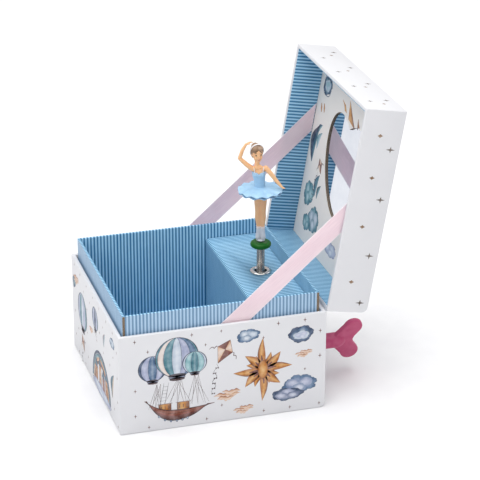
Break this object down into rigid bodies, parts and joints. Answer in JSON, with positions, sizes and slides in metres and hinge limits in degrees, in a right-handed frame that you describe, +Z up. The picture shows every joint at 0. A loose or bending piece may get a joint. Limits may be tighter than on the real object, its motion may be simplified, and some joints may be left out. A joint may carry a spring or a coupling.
{
  "type": "wind up music box",
  "caption": "Paper-covered board box with a hinged, mirrored lid, a trinket compartment, a spring-mounted dancer and a wind-up comb movement with a wing key.",
  "frame": {"origin": "centre of the base's underside", "axes": "+Z up, -Y towards the front where the lid opens, +Y towards the hinge and the key"},
  "size_m": [0.11, 0.1506, 0.1634],
  "materials": {
    "wrap_paper": "satin printed wrap paper over grey board",
    "striped_paper": "matte striped paper over grey board",
    "printed_paper": "satin printed card",
    "mirror_glass": "polished",
    "foam_tape": "matte",
    "pink_satin": "satin weave",
    "steel": "satin",
    "nickel": "polished",
    "brass": "satin",
    "cast_zinc": "as cast",
    "pink_plastic": "matte",
    "green_plastic": "gloss",
    "painted_figure": "painted satin",
    "blue_plastic": "satin"
  },
  "bodies": {
    "box": {"base_tray": "wrap_paper", "base_liner": "striped_paper", "compartment_floor": "striped_paper", "deck_board": "striped_paper", "deck_eyelet": "nickel", "hinge_strip": "wrap_paper", "ribbon_left": "pink_satin", "ribbon_right": "pink_satin", "bedplate": "cast_zinc", "mount_spacer_1": "brass", "mount_spacer_2": "brass", "mount_spacer_3": "brass", "mount_screw_1": "steel", "mount_screw_2": "steel", "mount_screw_3": "steel", "comb": "steel", "comb_rest": "cast_zinc", "comb_screw_1": "steel", "comb_screw_2": "steel", "governor_frame": "cast_zinc"},
    "lid": {"lid_shell": "wrap_paper", "lid_lining": "striped_paper", "lid_panel": "printed_paper", "mirror": "mirror_glass", "foam_tape_front": "foam_tape", "foam_tape_back": "foam_tape", "foam_tape_left": "foam_tape", "foam_tape_right": "foam_tape"},
    "cylinder": {"spindle": "steel", "pinned_cylinder": "brass", "crown_pinion": "brass", "drive_gear": "brass"},
    "crown_wheel": {"crown_wheel": "brass", "crown_arbor": "steel"},
    "barrel": {"great_wheel": "brass", "spring_drum": "cast_zinc", "drum_cover": "brass", "mainspring": "steel"},
    "key": {"winding_arbor": "steel", "winding_key": "pink_plastic"},
    "governor_wheel": {"governor_arbor": "steel", "governor_pinion": "brass", "worm_wheel": "brass"},
    "fan": {"worm": "steel", "governor_fan": "brass"},
    "stem": {"dancer_spring": "steel", "spring_plug": "steel"},
    "dancer": {"pedestal_disc": "green_plastic", "dancer_figure": "painted_figure", "dancer_tutu": "blue_plastic"}
  },
  "joints": [
    {"name": "lid_hinge", "type": "hinge", "parent": "box", "child": "lid", "pos_m": [0, 0.055, 0.055], "axis": [1, 0, 0], "range_deg": [0, 99.8], "deforming": ["ribbon_left", "ribbon_right", "hinge_strip"]},
    {"name": "cylinder_turn", "type": "hinge", "parent": "box", "child": "cylinder", "pos_m": [0, 0.0364, 0.024], "axis": [0, 0, 1], "continuous": true},
    {"name": "crown_wheel_turn", "type": "hinge", "parent": "box", "child": "crown_wheel", "pos_m": [0, 0.0404, 0.01258], "axis": [0, 1, 0], "continuous": true},
    {"name": "barrel_turn", "type": "hinge", "parent": "box", "child": "barrel", "pos_m": [0.02, 0.0404, 0.02], "axis": [0, 1, 0], "continuous": true},
    {"name": "key_turn", "type": "hinge", "parent": "box", "child": "key", "pos_m": [0.02, 0.055, 0.02], "axis": [0, 1, 0], "continuous": true},
    {"name": "governor_turn", "type": "hinge", "parent": "box", "child": "governor_wheel", "pos_m": [0.011, 0.0364, 0.0389], "axis": [0, 0, 1], "continuous": true},
    {"name": "fan_turn", "type": "hinge", "parent": "box", "child": "fan", "pos_m": [0.0154, 0.0364, 0.0389], "axis": [0, 1, 0], "continuous": true},
    {"name": "dancer_tilt", "type": "hinge", "parent": "box", "child": "stem", "pos_m": [0, 0.0364, 0.0642], "axis": [1, 0, 0], "range_deg": [0, 99.8], "deforming": ["dancer_spring"]},
    {"name": "dancer_spin", "type": "hinge", "parent": "stem", "child": "dancer", "pos_m": [0, 0.0364, 0.0642], "axis": [0, 0, 1], "continuous": true}
  ],
  "couplings": [
    {"joint": "crown_wheel_turn", "follows": "cylinder_turn", "ratio": -0.5},
    {"joint": "barrel_turn", "follows": "cylinder_turn", "ratio": 0.3},
    {"joint": "governor_turn", "follows": "cylinder_turn", "ratio": -3},
    {"joint": "fan_turn", "follows": "cylinder_turn", "ratio": 42},
    {"joint": "dancer_spin", "follows": "cylinder_turn", "ratio": 1},
    {"joint": "dancer_tilt", "follows": "lid_hinge", "ratio": 1}
  ]
}
